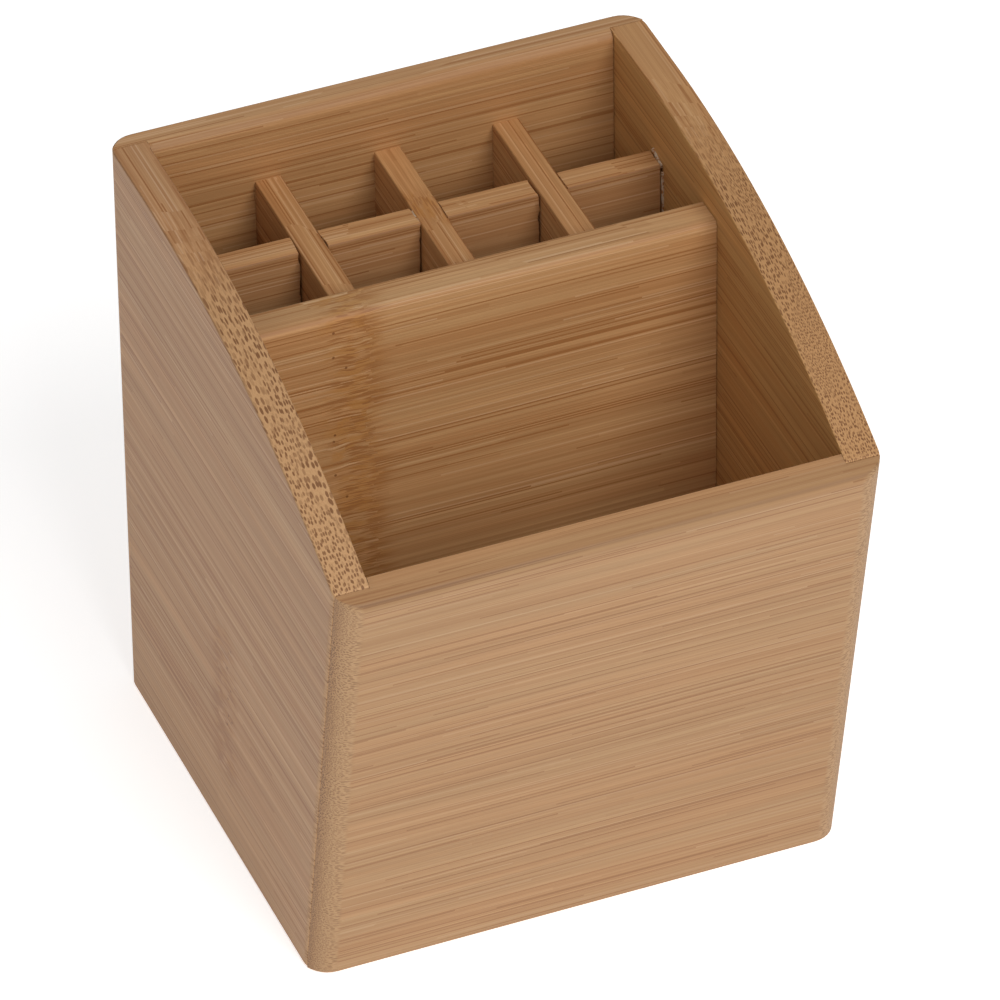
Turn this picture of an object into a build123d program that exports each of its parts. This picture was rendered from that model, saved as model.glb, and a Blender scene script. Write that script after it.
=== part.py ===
"""Bamboo desk organizer: a leaning-front box with a tall front bay and an egg-crate of eight cells.

Millimetres. The origin is the centre of the bounding box's underside, on the desk:
+X is the object's right, +Y its back and +Z up. Ten glued boards, each its own solid.
"""

from build123d import *
from math import atan2, cos, radians, tan
import os

# ---- driving dimensions --------------------------------------------------------------------
width = 127.0              # over the side panels
depth = 139.8              # back face to the front panel's nose, at the top
depth_at_foot = 116.9      # back face to the front panel's outer face, at the desk
height_back = 150.6
height_front = 119.5       # of the sharp corner that the nose is rounded from
rim_flat = 22.0            # level part of the rim, measured from the back face

wall = 8.3                 # side panels and main divider
end_wall = 6.8             # front and back panels
floor_board = 6.4          # bottom panel
thin_board = 6.35          # egg-crate boards

lip = 4.2                  # what the rebates leave of the front and back panels' ends
corner_radius = 6.0        # upright outer corners, sanded after gluing
foot_ease = 0.7            # outer bottom edges
nose_radius = 2.0          # outer top edge of the front panel
back_inner_round = 2.4     # inner top edge of the back panel
divider_round = 2.6        # front top edge of the main divider

main_divider_back = 57.2   # back face of the organizer to the main divider's back face
main_divider_top = 138.5
crate_top = 133.8          # top of the egg-crate boards
long_divider_back = 28.6   # back face of the organizer to the long divider's back face
cross_pitch = 28.4         # centre to centre of the cross dividers
cross_offset = 0.5         # the middle cross divider stands this far right of centre
notch_play = 0.3           # a notch is this much wider than the board in it
end_gap = 0.4              # the long divider stops this far short of the right side panel

# ---- values that follow from them ----------------------------------------------------------
lean = atan2(depth - depth_at_foot, height_front)
rim_run = depth - rim_flat
rim_drop = height_back - height_front
rim_radius = (rim_run**2 + rim_drop**2) / (2 * rim_drop)
rim_slope = atan2(rim_run, rim_radius - rim_drop)      # where the rim meets the front

# rounding the nose takes a little off its reach, so the sharp corner stands out by that much
corner_half = (radians(90) - rim_slope + lean) / 2
corner_tilt = (radians(90) - rim_slope - lean) / 2
nose_loss = nose_radius * (cos(corner_tilt) / cos(corner_half) - 1)

back_y = depth / 2
front_y = back_y - depth - nose_loss
foot_y = front_y + height_front * tan(lean)
front_reach = height_back * tan(lean)                  # how far the front leans over the full height
end_wall_level = end_wall / cos(lean)                  # front panel's thickness measured level
lip_level = lip / cos(lean)

inner_half = width / 2 - wall
inner_back_y = back_y - end_wall
main_divider_y = back_y - main_divider_back            # back face of the main divider
long_divider_y = back_y - long_divider_back            # back face of the long divider
crate_mid = (floor_board + crate_top) / 2              # where the notched boards meet


def front_to_upright(inset, upright):
    """Corners of a side view, full height, from a line inside the leaning front to an upright."""
    return (
        (foot_y + inset, 0),
        (upright, 0),
        (upright, height_back),
        (foot_y + inset - front_reach, height_back),
    )


def front_slab(thickness):
    """Corners of a side view, full height, of a slab whose outer face is the leaning front."""
    return (
        (foot_y, 0),
        (foot_y + thickness, 0),
        (foot_y + thickness - front_reach, height_back),
        (foot_y - front_reach, height_back),
    )


def finish(piece, name):
    """Label a finished board and write it out."""
    piece.part.label = name
    export_step(piece.part, f"parts/{name}.step")


os.makedirs("parts", exist_ok=True)

# ---- the sanded outside, which trims every outer board -------------------------------------
with BuildPart() as envelope:
    with BuildSketch(Plane.YZ):
        Polygon(*front_to_upright(0, back_y), align=None)
    extrude(amount=width / 2, both=True)
    upright_edges = envelope.edges().filter_by(Axis.X, reverse=True).filter_by(Axis.Y, reverse=True)
    fillet(upright_edges, corner_radius)
    fillet(envelope.faces().sort_by(Axis.Z)[0].edges(), foot_ease)
    with BuildSketch(Plane.YZ) as rim_outline:
        with BuildLine():
            rim_start = (back_y - rim_flat, height_back)
            nose = (front_y, height_front)
            RadiusArc(nose, rim_start, rim_radius)
            Polyline(rim_start, (back_y, height_back), (back_y, 0), (foot_y, 0), nose)
        make_face()
        fillet(rim_outline.vertices().sort_by(Axis.X)[0], nose_radius)
    extrude(amount=width / 2, both=True, mode=Mode.INTERSECT)

# ---- side panels: their ends stand in the rebates of the front and back panels -------------
for side, name in ((-1, "left_side_panel"), (1, "right_side_panel")):
    with BuildPart() as side_panel:
        with BuildSketch(Plane.YZ.offset(side * (width / 2 - wall / 2))):
            Polygon(*front_to_upright(lip_level, back_y - lip), align=None)
        extrude(amount=wall / 2, both=True)
        add(envelope.part, mode=Mode.INTERSECT)
    finish(side_panel, name)

# ---- front panel: leans forwards, rebated inside at both ends ------------------------------
with BuildPart() as front_panel:
    with BuildSketch(Plane.YZ):
        Polygon(*front_slab(lip_level), align=None)
    extrude(amount=width / 2, both=True)
    with BuildSketch(Plane.YZ):
        Polygon(*front_slab(end_wall_level), align=None)
    extrude(amount=inner_half, both=True)
    add(envelope.part, mode=Mode.INTERSECT)
finish(front_panel, "front_panel")

# ---- back panel: upright, rebated inside at both ends, its inner top edge rounded ----------
with BuildPart() as back_panel:
    with BuildSketch(Plane.XY):
        with Locations((0, back_y)):
            Rectangle(width, lip, align=(Align.CENTER, Align.MAX))
            Rectangle(2 * inner_half, end_wall, align=(Align.CENTER, Align.MAX))
    extrude(amount=height_back)
    add(envelope.part, mode=Mode.INTERSECT)
    inner_face = back_panel.faces().filter_by(Axis.Y).sort_by(Axis.Y)[0]
    fillet(inner_face.edges().sort_by(Axis.Z)[-1], back_inner_round)
finish(back_panel, "back_panel")

# ---- bottom panel: inside the four walls, flush with their lower edges ---------------------
with BuildPart() as bottom_panel:
    with BuildSketch(Plane.YZ):
        front_low = foot_y + end_wall_level
        front_high = front_low - floor_board * tan(lean)
        Polygon(
            (front_low, 0),
            (inner_back_y, 0),
            (inner_back_y, floor_board),
            (front_high, floor_board),
            align=None,
        )
    extrude(amount=inner_half, both=True)
finish(bottom_panel, "bottom_panel")

# ---- main divider: the thick board between the front bay and the cells ---------------------
with BuildPart() as main_divider:
    with BuildSketch(Plane.XY.offset(floor_board)):
        with Locations((0, main_divider_y)):
            Rectangle(2 * inner_half, wall, align=(Align.CENTER, Align.MAX))
    extrude(amount=main_divider_top - floor_board)
    front_top_edge = main_divider.faces().sort_by(Axis.Z)[-1].edges().sort_by(Axis.Y)[0]
    fillet(front_top_edge, divider_round)
finish(main_divider, "main_divider")

# ---- egg-crate: the long divider is notched from above, the cross dividers from below ------
cross_divider_places = {
    "cross_divider_left": cross_offset - cross_pitch,
    "cross_divider_middle": cross_offset,
    "cross_divider_right": cross_offset + cross_pitch,
}

with BuildPart() as long_divider:
    with BuildSketch(Plane.XY.offset(floor_board)):
        with Locations((-inner_half, long_divider_y)):
            Rectangle(2 * inner_half - end_gap, thin_board, align=(Align.MIN, Align.MAX))
    extrude(amount=crate_top - floor_board)
    with BuildSketch(Plane.XY.offset(crate_mid)):
        for middle in cross_divider_places.values():
            with Locations((middle + thin_board / 2, long_divider_y)):
                Rectangle(thin_board + notch_play, thin_board, align=(Align.MAX, Align.MAX))
    extrude(amount=crate_top - crate_mid, mode=Mode.SUBTRACT)
finish(long_divider, "long_divider")

for name, middle in cross_divider_places.items():
    with BuildPart() as cross_divider:
        with BuildSketch(Plane.YZ.offset(middle)):
            with Locations((main_divider_y, floor_board)):
                Rectangle(
                    inner_back_y - main_divider_y,
                    crate_top - floor_board,
                    align=(Align.MIN, Align.MIN),
                )
            with Locations((long_divider_y + notch_play / 2, floor_board)):
                Rectangle(
                    thin_board + notch_play,
                    crate_mid - floor_board,
                    align=(Align.MAX, Align.MIN),
                    mode=Mode.SUBTRACT,
                )
        extrude(amount=thin_board / 2, both=True)
    finish(cross_divider, name)
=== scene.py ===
"""Bamboo desk organizer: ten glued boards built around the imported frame, their glue and a small studio.

Metres, in the frame's own axes: +X is the organizer's right, +Y its back and +Z up.
"""

import cmath
import math

import bmesh
import bpy
from bpy.props import FloatProperty, FloatVectorProperty, IntProperty, PointerProperty
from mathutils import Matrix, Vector


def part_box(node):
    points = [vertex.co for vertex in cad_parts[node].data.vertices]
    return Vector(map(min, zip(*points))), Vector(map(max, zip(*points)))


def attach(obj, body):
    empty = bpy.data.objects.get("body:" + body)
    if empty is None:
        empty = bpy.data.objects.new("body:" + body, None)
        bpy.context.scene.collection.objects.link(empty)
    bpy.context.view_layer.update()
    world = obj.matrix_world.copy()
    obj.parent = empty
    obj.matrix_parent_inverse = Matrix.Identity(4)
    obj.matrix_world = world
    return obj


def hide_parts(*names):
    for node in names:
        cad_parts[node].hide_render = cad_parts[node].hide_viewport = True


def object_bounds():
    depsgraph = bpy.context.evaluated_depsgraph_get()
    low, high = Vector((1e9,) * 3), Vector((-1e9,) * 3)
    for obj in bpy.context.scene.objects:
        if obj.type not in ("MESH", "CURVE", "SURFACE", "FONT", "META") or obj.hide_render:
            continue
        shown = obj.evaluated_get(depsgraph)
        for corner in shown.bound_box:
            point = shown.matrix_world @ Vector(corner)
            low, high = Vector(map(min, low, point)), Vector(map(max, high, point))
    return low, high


bl_info = {
    "name": "Bamboo Desk Organizer",
    "version": (1, 0, 0),
    "blender": (4, 5, 0),
    "location": "View3D > Sidebar > Organizer",
    "description": "Builds a bamboo desk organizer board by board, with its studio",
    "category": "Object",
}

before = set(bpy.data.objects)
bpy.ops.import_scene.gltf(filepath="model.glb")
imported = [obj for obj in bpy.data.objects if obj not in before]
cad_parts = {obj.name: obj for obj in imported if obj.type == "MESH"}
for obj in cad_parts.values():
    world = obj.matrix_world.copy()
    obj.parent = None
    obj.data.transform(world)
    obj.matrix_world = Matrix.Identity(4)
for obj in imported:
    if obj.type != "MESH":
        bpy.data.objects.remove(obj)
cad_low, cad_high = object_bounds()

BODY = "root"
MM = 0.001  # one millimetre in metres
BOARD_SLOT = "bamboo_board"
THIN_SLOT = "bamboo_thin_board"


# ---- sizes and colours that a user would change ----

def length(name, description, millimetres):
    """A length property, given in millimetres and kept in metres."""
    return FloatProperty(
        name=name, description=description, default=millimetres * MM,
        min=0.0, unit="LENGTH", subtype="DISTANCE",
    )


def colour(name, description, rgb):
    """A colour property."""
    return FloatVectorProperty(
        name=name, description=description, default=rgb, size=3, min=0.0, max=1.0, subtype="COLOR",
    )


def amount(name, description, default, **limits):
    """A number property that is never negative."""
    return FloatProperty(name=name, description=description, default=default, min=0.0, **limits)


class BoardSizes(bpy.types.PropertyGroup):
    """Sizes of the six thick boards that the frame's boxes don't tell."""

    depth_at_foot: length("Depth at foot", "Back face to front face at the desk", 116.9)
    height_front: length("Front height", "Height of the front's sharp top corner", 119.5)
    rim_flat: length("Flat rim", "Level part of the rim, from the back face", 22.0)
    corner_radius: length("Corner radius", "Sanded upright outer corners", 6.0)
    foot_ease: length("Foot ease", "Rounding of the outer bottom edges", 0.7)
    nose_radius: length("Nose radius", "Rounding of the front panel's outer top edge", 2.0)
    back_outer_round: length("Back outer round", "Rounding of the back panel's outer top edge", 0.8)
    back_inner_round: length("Back inner round", "Rounding of the back panel's inner top edge", 2.4)
    divider_round: length("Divider round", "Rounding of the main divider's front top edge", 1.6)
    rim_ease: length("Rim ease", "Rounding of the side panels' outer top edge", 0.55)
    inner_ease: length("Inner ease", "Rounding of inner top edges", 0.35)
    hidden_ease: length("Hidden ease", "Rounding of edges inside the joints", 0.08)
    groove: length("Joint groove", "Easing of the side panels' ends that draws the joint lines", 0.08)
    joint_gap: length("Joint gap", "Thickness of a glue line between two boards", 0.14)
    divider_gap: length("Divider gap", "Gap at each end of the main divider", 0.12)
    cell: length("Mesh cell", "Spacing of the mesh along a board", 4.0)
    arc_cells: IntProperty(name="Arc cells", description="Cells round an eased edge", default=6, min=2)


class CrateSizes(bpy.types.PropertyGroup):
    """Sizes of the egg-crate's thin notched boards."""

    ease: length("Ease", "Rounding of the long edges", 0.35)
    step: length("Step", "Spacing of the mesh along a thin board", 1.6)
    waver: length("Waver", "How far the sawn edges wander", 0.22)
    saw_waver: length("Saw waver", "How far the notches' walls wander", 2.2)
    notch_play: length("Notch play", "How much wider a notch is than its board", 0.42)
    right_gap: length("Right gap", "The long divider stops this far short of the right side panel", 0.7)
    glue_bead: length("Glue bead", "Radius of a squeezed-out glue bead", 0.38)
    glue_step: length("Glue step", "Spacing of the rings along a glue bead", 0.35)


class BambooFinish(bpy.types.PropertyGroup):
    """Colours and grain of the oiled bamboo, and the painted shade on its rounded edges."""

    warm: colour("Warm", "Warm ground of the strips", (0.655, 0.352, 0.150))
    cool: colour("Cool", "Greyer ground of the strips", (0.610, 0.362, 0.163))
    streak: colour("Streak", "Dark fibre streaks", (0.350, 0.140, 0.040))
    glint: colour("Glint", "Pale fibre lines", (0.720, 0.460, 0.260))
    knuckle: colour("Knuckle", "Stain at a culm's knuckle", (0.470, 0.200, 0.045))
    # painted shade: this colour darkens every rounded edge as if it lay in shade
    painted_round_shade: colour("Painted round shade", "Painted shade that darkens rounded edges", (0.820, 0.775, 0.710))
    end_ground: colour("End grain ground", "Pith between the bundles on a cut end", (0.620, 0.352, 0.163))
    glue: colour("Glue", "Dried glue", (0.520, 0.390, 0.270))
    pore: colour("Pore", "Fibre bundles on a cut end", (0.190, 0.068, 0.018))
    strip_width: length("Strip width", "Width of the laminated strips", 21.0)
    bundle: length("Bundle spacing", "Distance between fibre bundles", 0.92)
    roughness: amount("Roughness", "Of the satin oil finish", 0.58, max=1.0)


class StudioSetup(bpy.types.PropertyGroup):
    """Camera, lights and table."""

    camera_place: FloatVectorProperty(
        name="Camera place", description="Where the camera stands",
        default=(-0.66521, -1.67058, 1.48278), unit="LENGTH", subtype="TRANSLATION",
    )
    camera_turn: FloatVectorProperty(
        name="Camera turn", description="XYZ Euler angles of the camera",
        default=(0.908535, 0.009946, -0.387351), unit="ROTATION", subtype="EULER",
    )
    lens: FloatProperty(name="Lens", description="Focal length in millimetres", default=371.37, min=1)
    walls: amount("Walls", "Brightness of the white walls around", 0.36)
    ceiling: amount("Ceiling", "Brightness straight above", 0.27)
    key: amount("Key", "Power of the broad front light", 36.0, unit="POWER")
    side: amount("Side", "Power of the left light", 4.0, unit="POWER")
    table: colour("Table", "Colour of the table", (0.93, 0.93, 0.93))
    table_glow: amount("Table glow", "Light that the table gives off", 0.60)


class OrganizerSettings(bpy.types.PropertyGroup):
    """Everything that the operators read."""

    boards: PointerProperty(type=BoardSizes)
    crate: PointerProperty(type=CrateSizes)
    bamboo: PointerProperty(type=BambooFinish)
    studio: PointerProperty(type=StudioSetup)


# ---- node trees ----

class Wire:
    """An output socket. Arithmetic on it adds Math nodes to its tree."""

    def __init__(self, net, socket):
        self.net = net
        self.socket = socket

    def other(self, name):
        """Another output of the same node."""
        return Wire(self.net, self.socket.node.outputs[name])

    def __add__(self, value):
        return self.net.maths("ADD", self, value)

    def __sub__(self, value):
        return self.net.maths("SUBTRACT", self, value)

    def __rsub__(self, value):
        return self.net.maths("SUBTRACT", value, self)

    def __mul__(self, value):
        return self.net.maths("MULTIPLY", self, value)

    def __truediv__(self, value):
        return self.net.maths("DIVIDE", self, value)

    def __rtruediv__(self, value):
        return self.net.maths("DIVIDE", value, self)

    def __abs__(self):
        return self.net.maths("ABSOLUTE", self)

    __radd__ = __add__
    __rmul__ = __mul__


class Net:
    """A node tree, material or geometry, that is filled by calls."""

    def __init__(self, tree):
        self.tree = tree

    def node(self, kind, settings=None, values=None, output=0):
        """Add a node: its settings first, then its sockets' values or links. Returns one output."""
        node = self.tree.nodes.new(kind)
        for name, value in (settings or {}).items():
            setattr(node, name, value)
        for name, value in (values or {}).items():
            for item in value if isinstance(value, list) else [value]:
                if isinstance(item, Wire):
                    self.tree.links.new(item.socket, node.inputs[name])
                else:
                    node.inputs[name].default_value = item
        return Wire(self, node.outputs[output]) if node.outputs else None

    def maths(self, operation, *values):
        return self.node("ShaderNodeMath", {"operation": operation}, dict(enumerate(values)))

    def smooth(self, value, low, high):
        """0 below low, 1 above high and smooth between; low may be the higher."""
        settings = {"interpolation_type": "SMOOTHSTEP"}
        if low < high:
            return self.node("ShaderNodeMapRange", settings, {0: value, 1: low, 2: high})
        return self.node("ShaderNodeMapRange", settings, {0: value, 1: high, 2: low, 3: 1.0, 4: 0.0})

    def blend(self, factor, first, second, mode="MIX"):
        """Mix of two colours."""
        settings = {"data_type": "RGBA", "blend_type": mode}
        sockets = {0: factor, 6: first, 7: second}
        return self.node("ShaderNodeMix", settings, sockets, output=2)

    def vector(self, *parts):
        return self.node("ShaderNodeCombineXYZ", None, dict(enumerate(parts)))

    def parts(self, vector):
        """The three parts of a vector or a colour, X first."""
        return self.node("ShaderNodeSeparateXYZ", None, {0: vector})

    def spots(self, place, uneven=1.0):
        """Scattered spots, about one in each unit square: distance from the nearest one, and its chance."""
        distance = self.node(
            "ShaderNodeTexVoronoi", {"feature": "F1", "voronoi_dimensions": "2D"},
            {"Vector": place, "Scale": 1.0, "Randomness": uneven}, output="Distance",
        )
        return distance, self.parts(distance.other("Color"))


def opaque(rgb):
    """A colour property as the four numbers of a colour socket."""
    return (*rgb, 1.0)


def new_material(name):
    """An empty material, its tree and its shader."""
    material = bpy.data.materials.new(name)
    material.use_nodes = True
    return material, Net(material.node_tree), material.node_tree.nodes["Principled BSDF"]


# ---- bamboo ----

class Grain:
    """Solid bamboo in one board's own directions, in millimetres: along the fibres, across and through."""

    def __init__(self, net, direction, seed):
        self.net = net
        place = net.node("ShaderNodeTexCoord", output="Object")
        x = net.parts(place)
        y, z = x.other("Y"), x.other("Z")
        faces = net.parts(place.other("Normal"))
        shift = 37.0 * seed
        if direction == "X":
            along, across, through = x, z, y
            self.slant = abs(faces)
            self.broadside = abs(faces.other("Y"))
        else:
            along, across, through = y, z, x
            self.slant = abs(faces.other("Y"))
            self.broadside = abs(faces)
        self.raw_along = along / MM
        self.raw_across = across / MM
        self.along = self.raw_along + shift
        self.across = self.raw_across + shift * 0.7
        self.through = through / MM + shift * 0.3

    def noise(self, width, run, detail=1.0, seed=0.0):
        """Noise drawn out along the fibres: width across them, run along them, in millimetres."""
        place = self.net.vector(
            self.along / run + seed, self.across / width + seed, self.through / width + seed,
        )
        return self.net.node("ShaderNodeTexNoise", None, {"Vector": place, "Scale": 1.0, "Detail": detail})

    def fibres(self, width, run, seed):
        """A random number for each fibre, a width thick, that lasts for a run along it."""
        net = self.net
        row = net.maths("FLOOR", self.across / width + seed)
        column = net.maths("FLOOR", self.through / width + seed)
        start = net.node("ShaderNodeTexWhiteNoise", None, {"Vector": net.vector(row, column, seed)})
        stretch = net.maths("FLOOR", self.along / run + start)
        return net.node("ShaderNodeTexWhiteNoise", None, {"Vector": net.vector(row, column, stretch)})

    def bundles(self, spacing, edge, core, seed=0.0):
        """Fibre bundles on a cut end: 1 within a core, 0 past an edge, as shares of their spacing."""
        net = self.net
        place = net.vector(self.across / spacing + seed, self.through / spacing + seed, 0.0)
        distance, chance = net.spots(place, uneven=0.8)
        return net.smooth(distance, edge, core) * net.smooth(chance, -0.35, 0.7)


FOREVER = 4000.0  # a run along the fibres that outlasts any board, in millimetres
STRIP_SHIFT = 300.0  # at most this far along, the next strip's fibres come from elsewhere
KNUCKLE_SHIFT = 140.0  # and the fibres past a knuckle from this far along
STRIP_TONE, SEAM_TONE = 0.10, 0.45  # how strongly strips and seams darken
STAIN, DASH, START, PINHOLE = 0.60, 0.92, 0.70, 0.85  # how strongly a knuckle's marks show


def bamboo(name, finish, direction, seed, knuckle=None, contrast=1.0, face=(1, 1, 1), edge=(1, 1, 1),
           end=(1, 1, 1), bundles=1.0, seams=()):
    """Oiled laminated bamboo, solid through the board.

    direction is the grain's axis. knuckle is (place along the grain, lowest, highest across it), in
    millimetres, where a culm's knuckle crosses the board. face, edge and end are tones on the board's
    broad faces, its long edges and its cut ends: partly the board's own tone, partly painted light and
    shade that sets these sides lighter or darker against each other. bundles spaces the fibre bundles
    that show on the ends, as shares of the usual. seams are (slope, place) of glued joints that darken
    it: lines where along + slope * across is at place.
    """
    material, net, shader = new_material(name)
    grain = Grain(net, direction, seed)

    # strips: each is glued beside the next, with its own tone and its own run of fibres
    strip = net.maths("FLOOR", grain.across / (finish.strip_width / MM))
    strip_tone = net.node("ShaderNodeTexWhiteNoise", {"noise_dimensions": "1D"}, {"W": strip + seed})
    grain.along = grain.along + strip_tone * STRIP_SHIFT

    # the fibres wander a little, and much more round a knuckle
    wander = grain.noise(30.0, 110.0, seed=3.1) - 0.5
    grain.across = grain.across + wander * 1.6
    at_knuckle = None
    if knuckle:
        middle, low, high = knuckle
        ragged = grain.noise(5.0, FOREVER, detail=2.0, seed=8.3) - 0.5
        own_end = grain.fibres(0.55, FOREVER, seed=21.0) - 0.5
        offset = grain.raw_along - middle + ragged * 5.0 + own_end * 2.2
        inside = net.smooth(grain.raw_across, low - 4.0, low + 4.0)
        inside = inside * net.smooth(grain.raw_across, high + 4.0, high - 4.0)
        at_knuckle = net.smooth(abs(offset), 9.0, 2.0) * inside
        bump_up = grain.noise(6.0, 10.0, detail=2.0, seed=5.7) - 0.5
        grain.across = grain.across + bump_up * at_knuckle * 1.9
        past = net.smooth(offset, 3.9, 4.1) * inside
        grain.along = grain.along + past * KNUCKLE_SHIFT

    wide = net.smooth(grain.noise(5.5, 150.0, detail=1.0, seed=1.7), 0.34, 0.66)
    broad = net.smooth(grain.noise(2.0, 110.0, detail=1.0, seed=2.9), 0.36, 0.66)
    middling = net.smooth(grain.noise(0.65, 90.0, detail=1.5, seed=4.3), 0.34, 0.68)
    fine = grain.noise(0.22, 45.0, detail=1.0, seed=6.1)
    thread = grain.fibres(0.34, 130.0, seed=9.4)
    cord_tone = grain.fibres(0.95, 120.0, seed=12.6)
    bold = net.smooth(thread + broad * 0.08, 0.90, 0.96)
    glints = net.smooth(thread, 0.09, 0.03)
    spacing = finish.bundle / MM * bundles
    coarse = grain.bundles(spacing, 0.42, 0.28)
    close = grain.bundles(spacing * 0.66, 0.44, 0.28, seed=3.7)
    crowd = net.smooth(grain.noise(9.0, 900.0, detail=1.0, seed=14.1), 0.46, 0.56)
    bundle = coarse * (1.0 - crowd) + close * crowd
    cut_end = net.smooth(grain.slant, 0.04, 0.20)

    dark, pale = opaque(finish.streak), opaque(finish.glint)
    ground = net.blend(wide * 0.7, opaque(finish.warm), opaque(finish.cool))
    layers = (  # of fibres, how strongly each shows and in which colour
        (broad, 0.11, dark),
        (net.smooth(cord_tone, 0.2, 1.0), 0.12, dark),
        (middling, 0.15, dark),
        (net.smooth(fine, 0.38, 0.72), 0.15, dark),
        (thread, 0.14, dark),
        (glints, 0.18, pale),
        (bold, 0.42, dark),
    )
    for layer, share, tone in layers:
        ground = net.blend(layer * share * contrast, ground, tone)
    if at_knuckle:
        stain = net.smooth(grain.noise(2.4, 6.0, detail=3.0, seed=15.2), 0.42, 0.58)
        ground = net.blend(at_knuckle * stain * STAIN, ground, opaque(finish.knuckle))
        dashes = net.smooth(grain.noise(0.50, 7.0, detail=1.0, seed=17.0), 0.53, 0.60)
        ground = net.blend(at_knuckle * dashes * DASH, ground, dark)
        starts = net.smooth(grain.fibres(0.50, FOREVER, seed=23.0), 0.55, 0.70) * inside
        starts = starts * net.smooth(offset, 1.5, 3.5) * net.smooth(offset, 11.0, 3.5)
        ground = net.blend(starts * START, ground, dark)
        apart = 4.6  # between pinholes
        spots, chance = net.spots(net.vector(grain.raw_along / apart, grain.raw_across / apart, 0.0))
        holed = net.smooth(abs(grain.raw_along - (middle - 3.0)), 2.6, 1.8) * inside
        holed = holed * net.smooth(chance, 0.12, 0.16)
        ground = net.blend(net.smooth(spots, 0.085, 0.055) * holed * PINHOLE, ground, opaque(finish.pore))
    ground = net.blend(strip_tone * STRIP_TONE, ground, dark)
    # painted light and shade, partly each board's own tone: the face, edge and end tones set its broad
    # faces, long edges and cut ends lighter or darker against each other
    facing = net.smooth(grain.broadside, 0.35, 0.85)
    tone_and_painted_light = net.blend(facing, opaque(edge), opaque(face))
    # painted shade: rounded edges, between a broad face and an edge, are darkened by the round-shade colour
    rounded = net.smooth(grain.broadside, 0.12, 0.50) * net.smooth(grain.broadside, 0.99, 0.82)
    tone_and_painted_light = net.blend(rounded, tone_and_painted_light, opaque(finish.painted_round_shade), "MULTIPLY")
    ground = net.blend(1.0, ground, tone_and_painted_light, "MULTIPLY")
    for slope, place in seams:
        away = abs(grain.raw_along + grain.raw_across * slope - place / MM)
        ground = net.blend(net.smooth(away, 0.75, 0.1) * SEAM_TONE, ground, dark)
    pith = net.blend(net.smooth(fine, 0.35, 0.7) * 0.22, opaque(finish.end_ground), dark)
    pith = net.blend(bundle * (0.86 - facing * 0.32), pith, opaque(finish.pore))
    # the cut ends take the end and face tones too: partly own tone, partly painted light and shade
    pith = net.blend(1.0, pith, net.blend(facing, opaque(end), opaque(face)), "MULTIPLY")
    ground = net.blend(cut_end, ground, pith)

    roughness = fine * 0.16 + cut_end * 0.10 + (finish.roughness - 0.08)
    height = fine * 0.4 + middling * 0.6 - bold * 0.4 - bundle * cut_end * 0.9
    bump = net.node("ShaderNodeBump", None, {"Strength": 0.35, "Distance": 0.05 * MM, "Height": height})

    links = material.node_tree.links
    links.new(ground.socket, shader.inputs["Base Color"])
    links.new(roughness.socket, shader.inputs["Roughness"])
    links.new(bump.socket, shader.inputs["Normal"])
    shader.inputs["IOR"].default_value = 1.48
    shader.inputs["Coat Weight"].default_value = 0.05
    shader.inputs["Coat Roughness"].default_value = 0.42
    return material


# ---- the sanded outside ----

class Shell:
    """Faces and rim that all the outer boards are sanded to."""

    def __init__(self, sizes):
        self.sizes = sizes
        self.half = cad_high.x
        self.back = cad_high.y
        self.top = cad_high.z
        self.radius = sizes.corner_radius
        side_low, side_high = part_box("right_side_panel")
        self.shoulder = side_low.x  # where the side panels' inner faces are
        self.lip = self.back - side_high.y  # what the rebates leave of the front and back panels
        depth = cad_high.y - cad_low.y
        self.lean = math.atan2(depth - sizes.depth_at_foot, sizes.height_front)
        run, drop = depth - sizes.rim_flat, self.top - sizes.height_front
        self.rim_radius = (run**2 + drop**2) / (2 * drop)
        slope = math.atan2(run, self.rim_radius - drop)
        corner_half = (math.pi / 2 - slope + self.lean) / 2
        corner_tilt = (math.pi / 2 - slope - self.lean) / 2
        nose_loss = sizes.nose_radius * (math.cos(corner_tilt) / math.cos(corner_half) - 1)
        self.foot = self.back - depth - nose_loss + sizes.height_front * math.tan(self.lean)

    def front(self, z):
        """Y of the leaning front face at a height."""
        return self.foot - z * math.tan(self.lean)

    def rim(self, y):
        """Height of the rim."""
        past = self.back - self.sizes.rim_flat - y
        if past <= 0:
            return self.top
        return self.top - self.rim_radius + math.sqrt(self.rim_radius**2 - past**2)

    def meets_rim(self, place):
        """Height where a line, given as Y at each height, reaches the rim."""
        z = self.top
        for _ in range(30):
            z = self.rim(place(z))
        return z

    def corner_inset(self, distance):
        """How far a rounded corner sets a face back, this far from the face beside it."""
        if distance >= self.radius:
            return 0.0
        return self.radius - math.sqrt(self.radius**2 - (self.radius - max(distance, 0.0)) ** 2)


def outline(corners, radii, cells, arc_cells, support=0.12 * MM):
    """Points counterclockwise round a convex flat shape: an arc at each corner, cells along each side.

    Corners and points are complex numbers. A support point close to each arc keeps the flat sides flat.
    """
    arcs = []
    for i, corner in enumerate(corners):
        before = corner - corners[i - 1]
        after = corners[(i + 1) % len(corners)] - corner
        before /= abs(before)
        after /= abs(after)
        turn = cmath.phase(after / before)
        spoke = -1j * before * radii[i]
        centre = corner - before * radii[i] * math.tan(turn / 2) - spoke
        arcs.append([centre + spoke * cmath.exp(1j * turn * k / arc_cells) for k in range(arc_cells + 1)])
    points = []
    for i, arc in enumerate(arcs):
        start, end = arc[-1], arcs[(i + 1) % len(arcs)][0]
        edge = min(support / abs(end - start), 0.3 / cells[i])
        shares = [edge, *(k / cells[i] for k in range(1, cells[i])), 1 - edge]
        points += arc + [start + (end - start) * share for share in shares]
    return points


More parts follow.
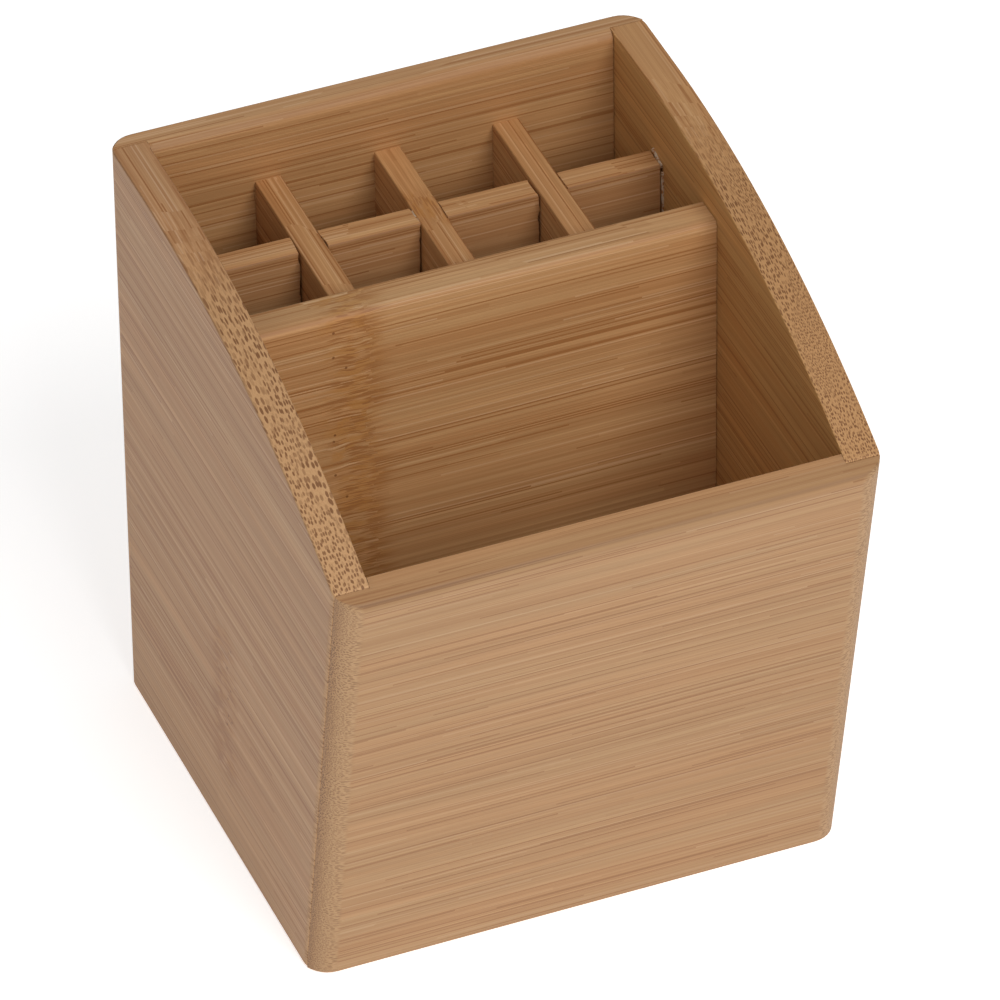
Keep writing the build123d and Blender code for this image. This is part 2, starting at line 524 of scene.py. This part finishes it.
def rectangle(near, low, far, high):
    """Corners of an upright rectangle, counterclockwise from the near low one."""
    return [complex(near, low), complex(far, low), complex(far, high), complex(near, high)]


def steps(start, end, cell):
    """Evenly spaced numbers from start to end, at most a cell apart, both ends included."""
    count = max(1, math.ceil(abs(end - start) / cell))
    return [start + (end - start) * k / count for k in range(count + 1)]


def finished(name, mesh, material, slot, *nodes):
    """Make a piece of a finished mesh: smooth but for its sharp edges, riding on the body."""
    mesh.name = name
    if not mesh.materials:
        mesh.materials.append(material)
    mesh.shade_smooth()
    mesh.set_sharp_from_angle(angle=math.radians(38))
    piece = bpy.data.objects.new(name, mesh)
    bpy.context.scene.collection.objects.link(piece)
    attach(piece, BODY)
    if nodes:
        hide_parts(*nodes)
    return piece


def loft(loops):
    """A closed mesh through loops of equally many points."""
    shape = bmesh.new()
    rings = [[shape.verts.new(point) for point in loop] for loop in loops]
    for near, far in zip(rings, rings[1:]):
        for i in range(len(near)):
            shape.faces.new((near[i - 1], near[i], far[i], far[i - 1]))
    shape.faces.new(rings[0])
    shape.faces.new(list(reversed(rings[-1])))
    bmesh.ops.recalc_face_normals(shape, faces=shape.faces)
    mesh = bpy.data.meshes.new("board")
    shape.to_mesh(mesh)
    shape.free()
    return mesh


def straight_board(flat, start, end, cell):
    """A closed mesh that carries a section from one x to another."""
    return loft([[(x, point.real, point.imag) for point in flat] for x in steps(start, end, cell)])


def end_board_stations(shell, full):
    """From left to right over a rebated board: x, how far its corner is set back there, and thickness."""
    sizes, radius, lip, shoulder = shell.sizes, shell.radius, shell.lip, shell.shoulder
    feather = 0.15 * MM  # what is left of the lip where it runs out in the rounding
    start = math.asin((radius - lip + feather) / radius)
    corner = []
    for k in range(sizes.arc_cells + 1):
        angle = start + (math.pi / 2 - start) * k / sizes.arc_cells
        along, out = radius * math.cos(angle), radius * math.sin(angle)
        corner.append((shell.half - radius + along, radius - out, lip))
    right = corner + [(shoulder, 0.0, lip), (shoulder - sizes.joint_gap, 0.0, full)]
    inner = shoulder - sizes.joint_gap
    middle = [(x, 0.0, full) for x in steps(-inner, inner, sizes.cell)[1:-1]]
    return [(-x, inset, thick) for x, inset, thick in right] + middle + right[::-1]


# ---- operators ----

class BuildOperator:
    """What the board operators share."""

    bl_options = {"REGISTER", "UNDO"}

    @property
    def settings(self):
        return bpy.context.scene.organizer


class ORGANIZER_OT_side_panels(BuildOperator, bpy.types.Operator):
    """Build the two side panels, whose rim falls in an arc to the front"""

    bl_idname = "organizer.side_panels"
    bl_label = "Side panels"

    def execute(self, context):
        sizes, finish = self.settings.boards, self.settings.bamboo
        shell = Shell(sizes)
        low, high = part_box("right_side_panel")
        lip, inner = shell.lip, shell.shoulder
        lip_level = lip / math.cos(shell.lean)
        full = shell.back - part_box("back_panel")[0].y
        run = high.y - low.y
        settle = [reach * MM for reach in (0.7, 1.3, 1.9)]  # extra rings in the corners' rounding
        near_end = [0.0, sizes.groove, *settle, full - lip - sizes.joint_gap, full - lip]
        lengths = near_end + steps(near_end[-1], run - near_end[-1], sizes.cell)[1:-1]
        lengths += [run - reach for reach in reversed(near_end)]

        def place_at(share, z):
            """Y at a share of the way from the front joint to the back joint."""
            front = shell.front(z) + lip_level + sizes.joint_gap
            back = shell.back - lip - sizes.joint_gap
            return front + (back - front) * share

        seams = ((math.tan(shell.lean), shell.foot + lip_level), (0.0, shell.back - lip))
        loops = []
        for i, reach in enumerate(lengths):
            share = reach / run
            eased = sizes.groove if i in (0, len(lengths) - 1) else 0.0
            rebated = min(reach, run - reach) < full - lip
            inner_ease = sizes.hidden_ease / 2 if rebated else sizes.inner_ease
            top = shell.meets_rim(lambda z: place_at(share, z)) - eased
            outer = shell.half - eased
            flat = outline(
                rectangle(inner, 0, outer, top),
                [0.2 * MM, sizes.foot_ease, sizes.rim_ease, inner_ease],
                [4, 36, 5, 36], sizes.arc_cells,
            )
            loop = []
            for point in flat:
                y = place_at(share, point.imag)
                from_front = (y - shell.front(point.imag)) * math.cos(shell.lean)
                inset = max(shell.corner_inset(from_front), shell.corner_inset(shell.back - y))
                squeeze = (shell.half - inset - inner) / (shell.half - inner)
                loop.append((inner + (point.real - inner) * squeeze, y, point.imag))
            loops.append(loop)
        # face, edge and end: partly each panel's own tone, partly painted light and shade: the left panel's
        # broad faces are darkened as painted shade, the right panel's broad faces brightened as painted
        # light on its inner wall, and its end grain darkened as painted shade
        tones = {
            "left_side": {
                "seed": 1.0, "knuckle": (4.0, 18.0, 62.0), "contrast": 2.3,
                "face": (0.715, 0.727, 0.715), "edge": (1.00, 1.03, 1.14), "end": (0.94, 0.94, 0.93),
            },
            "right_side": {
                "seed": 5.0, "contrast": 1.7,
                "face": (1.12, 1.12, 0.92), "edge": (1.02, 1.02, 1.0), "end": (0.86, 0.81, 0.71),
                "bundles": 0.50,
            },
        }
        for side, name in ((-1, "left_side"), (1, "right_side")):
            material = bamboo(f"bamboo_{name}", finish, "Y", seams=seams, **tones[name])
            mesh = loft([[(side * x, y, z) for x, y, z in loop] for loop in loops])
            finished(f"{name}_board", mesh, material, BOARD_SLOT, f"{name}_panel")
        return {"FINISHED"}


class ORGANIZER_OT_front_panel(BuildOperator, bpy.types.Operator):
    """Build the leaning front panel, rebated at both ends over the side panels"""

    bl_idname = "organizer.front_panel"
    bl_label = "Front panel"

    def execute(self, context):
        sizes = self.settings.boards
        shell = Shell(sizes)
        lip, cosine = shell.lip, math.cos(shell.lean)
        full = (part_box("front_panel")[1].y - shell.foot) * cosine
        loops = []
        for x, inset, thick in end_board_stations(shell, full):
            outer, inner = inset / cosine, thick / cosine
            top_outer = shell.meets_rim(lambda z: shell.front(z) + outer)
            top_inner = shell.meets_rim(lambda z: shell.front(z) + inner)
            nose = min(sizes.nose_radius, 0.46 * (lip - inset))
            flat = outline(
                [
                    complex(shell.foot + outer, 0),
                    complex(shell.foot + inner, 0),
                    complex(shell.front(top_inner) + inner, top_inner),
                    complex(shell.front(top_outer) + outer, top_outer),
                ],
                [
                    min(sizes.foot_ease, 0.4 * (lip - inset)),
                    sizes.hidden_ease / 2,
                    sizes.inner_ease if thick > lip else sizes.hidden_ease / 2,
                    nose,
                ],
                [3, 30, 4, 30], sizes.arc_cells, 0.05 * MM,
            )
            loops.append([(x, point.real, point.imag) for point in flat])
        # face, edge and end: partly the panel's own tone, partly painted shade that darkens its leaning
        # front face and cut ends against its lighter top edge
        material = bamboo(
            "bamboo_front", self.settings.bamboo, "X", 2.0, contrast=1.4,
            face=(0.67, 0.705, 0.735), edge=(0.95, 1.0, 1.08), end=(0.61, 0.59, 0.56), bundles=0.52,
        )
        finished("front_board", loft(loops), material, BOARD_SLOT, "front_panel")
        return {"FINISHED"}


class ORGANIZER_OT_back_panel(BuildOperator, bpy.types.Operator):
    """Build the upright back panel, rebated at both ends behind the side panels"""

    bl_idname = "organizer.back_panel"
    bl_label = "Back panel"

    def execute(self, context):
        sizes = self.settings.boards
        shell = Shell(sizes)
        lip = shell.lip
        full = shell.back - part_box("back_panel")[0].y
        loops = []
        for x, inset, thick in end_board_stations(shell, full):
            outer, inner = shell.back - inset, shell.back - thick
            flat = outline(
                rectangle(inner, 0, outer, shell.top),
                [
                    sizes.hidden_ease / 2,
                    min(sizes.foot_ease, 0.4 * (lip - inset)),
                    min(sizes.back_outer_round, 0.46 * (lip - inset)),
                    sizes.back_inner_round if thick > lip else sizes.hidden_ease / 2,
                ],
                [3, 36, 4, 36], sizes.arc_cells, 0.05 * MM,
            )
            loops.append([(x, point.real, point.imag) for point in flat])
        # face, edge and end: partly the panel's own tone, partly painted light that brightens its top edges
        # and painted shade that darkens its faces and cut ends
        material = bamboo(
            "bamboo_back", self.settings.bamboo, "X", 3.0, contrast=1.8,
            face=(0.91, 0.90, 0.86), edge=(1.07, 1.14, 1.28), end=(0.80, 0.80, 0.78), bundles=0.55,
        )
        finished("back_board", loft(loops), material, BOARD_SLOT, "back_panel")
        return {"FINISHED"}


class ORGANIZER_OT_bottom_panel(BuildOperator, bpy.types.Operator):
    """Build the bottom panel between the four walls"""

    bl_idname = "organizer.bottom_panel"
    bl_label = "Bottom panel"

    def execute(self, context):
        sizes = self.settings.boards
        shell = Shell(sizes)
        low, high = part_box("bottom_panel")
        gap = sizes.joint_gap
        front_low = low.y + (high.z - low.z) * math.tan(shell.lean) + gap
        flat = outline(
            [
                complex(front_low, 0),
                complex(high.y - gap, 0),
                complex(high.y - gap, high.z),
                complex(low.y + gap, high.z),
            ],
            [0.25 * MM, 0.25 * MM, 0.1 * MM, 0.1 * MM],
            [24, 3, 24, 3], 3,
        )
        mesh = straight_board(flat, low.x + gap, high.x - gap, sizes.cell)
        material = bamboo("bamboo_bottom", self.settings.bamboo, "X", 4.0)
        finished("bottom_board", mesh, material, BOARD_SLOT, "bottom_panel")
        return {"FINISHED"}


class ORGANIZER_OT_main_divider(BuildOperator, bpy.types.Operator):
    """Build the thick divider behind the front bay"""

    bl_idname = "organizer.main_divider"
    bl_label = "Main divider"

    def execute(self, context):
        sizes = self.settings.boards
        low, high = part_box("main_divider")
        flat = outline(
            rectangle(low.y, low.z, high.y, high.z),
            [sizes.hidden_ease, sizes.hidden_ease, 0.6 * MM, sizes.divider_round],
            [3, 34, 4, 34], sizes.arc_cells,
        )
        gap = sizes.divider_gap
        mesh = straight_board(flat, low.x + gap, high.x - gap, sizes.cell)
        # face and edge: partly the divider's own tone, partly painted light that brightens its faces and
        # its top edges
        material = bamboo(
            "bamboo_main_divider", self.settings.bamboo, "X", 6.0, knuckle=(-31.0, -20.0, 160.0),
            contrast=2.1, face=(1.12, 1.15, 1.16), edge=(1.07, 1.18, 1.30),
        )
        finished("main_divider_board", mesh, material, BOARD_SLOT, "main_divider")
        return {"FINISHED"}


class Recipe:
    """A geometry node tree with named inputs, and the modifier that runs it once into a plain mesh."""

    def __init__(self, name, sockets):
        self.tree = bpy.data.node_groups.new(name, "GeometryNodeTree")
        self.net = Net(self.tree)
        self.tree.interface.new_socket("Geometry", in_out="OUTPUT", socket_type="NodeSocketGeometry")
        self.keys = {}
        for label, kind in sockets.items():
            socket = self.tree.interface.new_socket(label, in_out="INPUT", socket_type=f"NodeSocket{kind}")
            self.keys[label] = socket.identifier
        self.inputs = self.net.node("NodeGroupInput")

    def __getitem__(self, label):
        return self.inputs.other(label)

    def line(self, start, end):
        """A straight curve with a point at each step."""
        path = self.net.node("GeometryNodeCurvePrimitiveLine", None, {"Start": start, "End": end})
        sockets = {"Curve": path, "Length": self["Step"]}
        return self.net.node("GeometryNodeResampleCurve", {"mode": "LENGTH"}, sockets)

    def cloud(self, place, scale, seed, detail):
        """Noise of three numbers at a place."""
        return self.net.node(
            "ShaderNodeTexNoise", {"noise_dimensions": "4D"},
            {"Vector": place, "W": seed, "Scale": scale, "Detail": detail}, output="Color",
        )

    def stray(self, cloud, reach):
        """Such noise about zero, times a reach."""
        middle = {0: cloud, 1: (0.5, 0.5, 0.5)}
        centred = self.net.node("ShaderNodeVectorMath", {"operation": "SUBTRACT"}, middle)
        return self.net.node("ShaderNodeVectorMath", {"operation": "SCALE"}, {0: centred, "Scale": reach})

    def end(self, geometry, material):
        """Realize what was made, give it its material and lead it out."""
        realized = self.net.node("GeometryNodeRealizeInstances", None, {0: geometry})
        sockets = {"Geometry": realized, "Material": material}
        painted = self.net.node("GeometryNodeSetMaterial", None, sockets)
        self.net.node("NodeGroupOutput", None, {0: painted})

    def bake(self, data, values):
        """Run the tree on a mesh with these input values and return the result as a plain mesh."""
        holder = bpy.data.objects.new("holder", data)
        bpy.context.scene.collection.objects.link(holder)
        modifier = holder.modifiers.new("recipe", "NODES")
        modifier.node_group = self.tree
        for label, value in values.items():
            modifier[self.keys[label]] = value
        depsgraph = bpy.context.evaluated_depsgraph_get()
        mesh = bpy.data.meshes.new_from_object(holder.evaluated_get(depsgraph))
        bpy.data.objects.remove(holder)
        return mesh


def notched_board_recipe():
    """A sawn board: a rounded section swept along its length, with notches cut by wandering blades."""
    recipe = Recipe("Notched board", {
        "Length": "Float", "Thickness": "Float", "Low": "Float", "High": "Float", "Ease": "Float",
        "Step": "Float", "Notches": "Int", "First Notch": "Float", "Pitch": "Float",
        "Notch Width": "Float", "Notch Middle": "Float", "Notch Height": "Float", "Waver": "Float",
        "Saw Waver": "Float", "Tilt": "Float", "Seed": "Float", "Start": "Vector", "Turn": "Float",
        "Material": "Material",
    })
    net = recipe.net
    height = recipe["High"] - recipe["Low"]
    path = recipe.line((0.0, 0.0, 0.0), net.vector(recipe["Length"], 0.0, 0.0))
    section = net.node(
        "GeometryNodeCurvePrimitiveQuadrilateral", None,
        {"Width": recipe["Thickness"], "Height": height},
    )
    section = net.node(
        "GeometryNodeFilletCurve", {"mode": "POLY"},
        {"Curve": section, "Count": 4, "Radius": recipe["Ease"]},
    )
    board = net.node(
        "GeometryNodeCurveToMesh", None,
        {"Curve": path, "Profile Curve": section, "Fill Caps": True},
    )
    place = net.node("GeometryNodeInputPosition")
    parts = net.parts(place)

    # the sawn edges wander, and the board may sit a little out of level
    drift = recipe.cloud(place, 1.0 / (9 * MM), recipe["Seed"], 1.0)
    drift = net.parts(recipe.stray(drift, recipe["Waver"]))
    rise = drift.other("Z") + recipe["Tilt"] * (parts / recipe["Length"] - 0.5)
    upper = net.smooth(parts.other("Z") / height, 0.0, 0.4)
    board = net.node(
        "GeometryNodeSetPosition", None,
        {"Geometry": board, "Offset": net.vector(0.0, drift.other("Y") * upper, rise * upper)},
    )
    blade = net.node(
        "GeometryNodeMeshCube", None,
        {
            "Size": net.vector(recipe["Notch Width"], recipe["Thickness"] * 3.0, recipe["Notch Height"]),
            "Vertices X": 2, "Vertices Y": 6, "Vertices Z": 48,
        },
    )
    offset = recipe["Notch Middle"] - (recipe["Low"] + recipe["High"]) / 2.0
    spots = net.node(
        "GeometryNodeMeshLine", {"mode": "OFFSET"},
        {
            "Count": recipe["Notches"],
            "Start Location": net.vector(recipe["First Notch"], 0.0, offset),
            "Offset": net.vector(recipe["Pitch"], 0.0, 0.0),
        },
    )
    blades = net.node("GeometryNodeInstanceOnPoints", None, {"Points": spots, "Instance": blade})
    blades = net.node("GeometryNodeRealizeInstances", None, {0: blades})
    bite = recipe.cloud(place, 1.0 / (2.6 * MM), recipe["Seed"] + 7.0, 1.0)
    bite = net.parts(recipe.stray(bite, recipe["Saw Waver"]))
    blades = net.node(
        "GeometryNodeSetPosition", None,
        {"Geometry": blades, "Offset": net.vector(bite, 0.0, 0.0)},
    )
    cut = net.node(
        "GeometryNodeMeshBoolean", {"operation": "DIFFERENCE", "solver": "EXACT"},
        {0: board, 1: blades},
    )
    base = net.vector(0.0, 0.0, (recipe["Low"] + recipe["High"]) / 2.0)
    shift = net.node("ShaderNodeVectorMath", {"operation": "ADD"}, {0: recipe["Start"], 1: base})
    set_down = net.node(
        "GeometryNodeTransform", None,
        {"Geometry": cut, "Translation": shift, "Rotation": net.vector(0.0, 0.0, recipe["Turn"])},
    )
    recipe.end(set_down, recipe["Material"])
    return recipe


class ORGANIZER_OT_egg_crate(BuildOperator, bpy.types.Operator):
    """Build the long divider and the three cross dividers that are notched into each other"""

    bl_idname = "organizer.egg_crate"
    bl_label = "Egg-crate"

    def execute(self, context):
        crate, finish = self.settings.crate, self.settings.bamboo
        recipe = notched_board_recipe()
        crosses = ["cross_divider_left", "cross_divider_middle", "cross_divider_right"]
        boxes = [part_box(name) for name in crosses]
        low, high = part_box("long_divider")
        thick = high.y - low.y
        meeting = (low.z + high.z) / 2
        over = 6 * MM  # blades reach this far past the board's edge
        shared = {
            "Ease": crate.ease, "Step": crate.step, "Waver": crate.waver, "Saw Waver": crate.saw_waver,
        }
        middles = [(box_low.x + box_high.x) / 2 for box_low, box_high in boxes]
        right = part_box("right_side_panel")[0].x - crate.right_gap
        # face and edge: partly the divider's own tone, partly painted shade that darkens its faces down in
        # the cells against lighter top edges
        material = bamboo("bamboo_long_divider", finish, "X", 7.0, contrast=2.2, face=(0.81, 0.81, 0.82),
                          edge=(1.05, 1.06, 1.06))
        mesh = recipe.bake(bpy.data.meshes.new("seed"), {
            **shared, "Length": right - low.x, "Thickness": thick, "Low": low.z, "High": high.z,
            "Notches": len(middles), "First Notch": middles[0] - low.x - crate.notch_play / 2,
            "Pitch": middles[1] - middles[0], "Notch Width": thick + crate.notch_play,
            "Notch Middle": (meeting + high.z + over) / 2, "Notch Height": high.z + over - meeting,
            "Tilt": -0.9 * MM, "Seed": 2.0, "Start": (low.x, (low.y + high.y) / 2, 0.0), "Turn": 0.0,
            "Material": material,
        })
        finished("long_divider_board", mesh, material, THIN_SLOT, "long_divider")
        tilts = (0.9 * MM, 0.9 * MM, 0.2 * MM)
        knuckles = (None, (40.0, 112.0, 160.0), None)
        for i, (name, box) in enumerate(zip(crosses, boxes)):
            box_low, box_high = box
            material = bamboo(
                f"bamboo_{name}", finish, "Y", 8.0 + i, knuckles[i], contrast=2.2, face=(1.0, 1.0, 0.96),
                edge=(1.01, 0.99, 0.95),
            )
            notch = (low.y + high.y) / 2 - box_low.y
            mesh = recipe.bake(bpy.data.meshes.new("seed"), {
                **shared, "Length": box_high.y - box_low.y, "Thickness": box_high.x - box_low.x,
                "Low": box_low.z, "High": box_high.z, "Notches": 1, "First Notch": notch, "Pitch": 0.0,
                "Notch Width": thick + crate.notch_play,
                "Notch Middle": (meeting + box_low.z - over) / 2,
                "Notch Height": meeting - box_low.z + over,
                "Tilt": tilts[i], "Seed": 11.0 + i, "Start": (middles[i], box_low.y, 0.0),
                "Turn": math.pi / 2, "Material": material,
            })
            finished(f"{name}_board", mesh, material, THIN_SLOT, name)
        return {"FINISHED"}


def glue_recipe():
    """A bead of glue squeezed out along a straight joint, uneven in its place and thickness."""
    recipe = Recipe("Glue bead", {
        "Start": "Vector", "End": "Vector", "Radius": "Float", "Step": "Float", "Seed": "Float",
        "Material": "Material",
    })
    net = recipe.net
    path = recipe.line(recipe["Start"], recipe["End"])
    uneven = recipe.cloud(net.node("GeometryNodeInputPosition"), 560.0, recipe["Seed"], 2.0)
    stray = recipe.stray(uneven, recipe["Radius"] * 1.6)
    path = net.node("GeometryNodeSetPosition", None, {"Geometry": path, "Offset": stray})
    thickness = net.smooth(net.parts(uneven), 0.46, 0.64) * 0.95 + 0.06
    path = net.node("GeometryNodeSetCurveRadius", None, {"Curve": path, "Radius": thickness})
    ring = net.node(
        "GeometryNodeCurvePrimitiveCircle", {"mode": "RADIUS"},
        {"Resolution": 8, "Radius": recipe["Radius"]},
    )
    bead = net.node(
        "GeometryNodeCurveToMesh", None, {"Curve": path, "Profile Curve": ring, "Fill Caps": True},
    )
    recipe.end(bead, recipe["Material"])
    return recipe


def dried_glue(finish):
    """Cloudy dried glue with wood dust in it."""
    material, net, shader = new_material("dried_glue")
    place = net.node("ShaderNodeTexCoord", output="Object")
    dust = net.node("ShaderNodeTexNoise", None, {"Vector": place, "Scale": 1400.0, "Detail": 2.0})
    ground = net.blend(net.smooth(dust, 0.42, 0.62), opaque(finish.glue), opaque(finish.streak))
    material.node_tree.links.new(ground.socket, shader.inputs["Base Color"])
    material.node_tree.links.new((dust * 0.3 + 0.3).socket, shader.inputs["Roughness"])
    return material


class ORGANIZER_OT_glue(BuildOperator, bpy.types.Operator):
    """Squeeze a little glue out of the egg-crate's joints"""

    bl_idname = "organizer.glue"
    bl_label = "Glue"

    def execute(self, context):
        crate = self.settings.crate
        recipe = glue_recipe()
        material = dried_glue(self.settings.bamboo)
        long_low, long_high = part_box("long_divider")
        middle_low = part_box("cross_divider_middle")[0]
        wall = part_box("right_side_panel")[0].x
        edge = wall - crate.glue_bead * 0.4
        gap = middle_low.x - crate.notch_play * 0.45
        runs = {
            "glue_wall_front": ((edge, long_low.y - 0.1 * MM, long_high.z - 2.4 * MM),
                                (edge, long_low.y - 0.1 * MM, long_high.z - 21 * MM), 1.0),
            "glue_wall_top": ((edge, long_high.y - 0.8 * MM, long_high.z + 0.3 * MM),
                              (edge, long_low.y + 0.4 * MM, long_high.z - 1.2 * MM), 1.2),
            "glue_notch": ((gap, long_low.y + 0.3 * MM, long_high.z - 0.35 * MM),
                           (gap, long_high.y - 1.0 * MM, long_high.z - 0.35 * MM), 0.9),
        }
        for i, (name, (start, end, share)) in enumerate(runs.items()):
            mesh = recipe.bake(bpy.data.meshes.new("seed"), {
                "Start": start, "End": end, "Radius": crate.glue_bead * share, "Step": crate.glue_step,
                "Seed": 31.0 + i, "Material": material,
            })
            finished(name, mesh, material, None)
        return {"FINISHED"}


class ORGANIZER_OT_studio(BuildOperator, bpy.types.Operator):
    """Set up the table, the lights and the camera"""

    bl_idname = "organizer.studio"
    bl_label = "Studio"

    def execute(self, context):
        setup = self.settings.studio
        scene = context.scene
        scene.view_settings.view_transform = "Standard"
        world = bpy.data.worlds.new("white_surroundings")
        world.use_nodes = True
        net = Net(world.node_tree)
        direction = net.node("ShaderNodeTexCoord", output="Generated")
        height = net.parts(direction).other("Z")
        strength = net.smooth(height, 0.75, 0.05) * (setup.walls - setup.ceiling) + setup.ceiling
        background = world.node_tree.nodes["Background"]
        background.inputs["Color"].default_value = (1.0, 1.0, 1.0, 1.0)
        world.node_tree.links.new(strength.socket, background.inputs["Strength"])
        scene.world = world

        table_radius, table_drop = 4.0, 0.2 * MM
        shape = bmesh.new()
        bmesh.ops.create_circle(shape, cap_ends=True, radius=table_radius, segments=96)
        for vertex in shape.verts:
            vertex.co.z = -table_drop
        mesh = bpy.data.meshes.new("table")
        shape.to_mesh(mesh)
        shape.free()
        table = bpy.data.objects.new("table", mesh)
        scene.collection.objects.link(table)
        paint, _, shader = new_material("pale_table")
        shader.inputs["Base Color"].default_value = opaque(setup.table)
        shader.inputs["Roughness"].default_value = 0.9
        shader.inputs["Specular IOR Level"].default_value = 0.1
        shader.inputs["Emission Color"].default_value = (1.0, 1.0, 1.0, 1.0)
        shader.inputs["Emission Strength"].default_value = setup.table_glow
        mesh.materials.append(paint)

        middle = Vector((0.0, 0.0, 0.07))  # what the lights face
        for name, power, size, place in (
            ("front_light", setup.key, 1.6, (0.35, -1.75, 1.75)),
            ("left_light", setup.side, 1.2, (-1.7, -0.5, 1.5)),
        ):
            lamp = bpy.data.lights.new(name, "AREA")
            lamp.shape = "DISK"
            lamp.size = size
            lamp.energy = power
            light = bpy.data.objects.new(name, lamp)
            light.location = place
            light.rotation_euler = (Vector(place) - middle).to_track_quat("Z", "Y").to_euler()
            light.visible_camera = False
            scene.collection.objects.link(light)

        camera = bpy.data.objects.new("camera", bpy.data.cameras.new("camera"))
        camera.data.lens = setup.lens
        camera.data.sensor_width = 36.0
        camera.data.clip_start = 0.05
        camera.data.clip_end = 50.0
        camera.location = setup.camera_place
        camera.rotation_euler = setup.camera_turn
        scene.collection.objects.link(camera)
        scene.camera = camera
        return {"FINISHED"}


STEPS = (
    ORGANIZER_OT_studio,
    ORGANIZER_OT_side_panels,
    ORGANIZER_OT_front_panel,
    ORGANIZER_OT_back_panel,
    ORGANIZER_OT_bottom_panel,
    ORGANIZER_OT_main_divider,
    ORGANIZER_OT_egg_crate,
    ORGANIZER_OT_glue,
)


class ORGANIZER_PT_panel(bpy.types.Panel):
    """Buttons and settings of the organizer"""

    bl_label = "Organizer"
    bl_idname = "ORGANIZER_PT_panel"
    bl_space_type = "VIEW_3D"
    bl_region_type = "UI"
    bl_category = "Organizer"

    def draw(self, context):
        layout = self.layout
        for step in STEPS:
            layout.operator(step.bl_idname)
        settings = context.scene.organizer
        for group in (settings.boards, settings.crate, settings.bamboo, settings.studio):
            box = layout.box()
            for name in group.bl_rna.properties.keys():
                if name not in ("rna_type", "name"):
                    box.prop(group, name)


CLASSES = (
    BoardSizes, CrateSizes, BambooFinish, StudioSetup, OrganizerSettings, *STEPS, ORGANIZER_PT_panel,
)


def register():
    for item in CLASSES:
        bpy.utils.register_class(item)
    bpy.types.Scene.organizer = PointerProperty(type=OrganizerSettings)


def unregister():
    del bpy.types.Scene.organizer
    for item in reversed(CLASSES):
        bpy.utils.unregister_class(item)


def main():
    register()
    for step in STEPS:
        category, name = step.bl_idname.split(".")
        getattr(getattr(bpy.ops, category), name)()


if __name__ == "__main__":
    main()
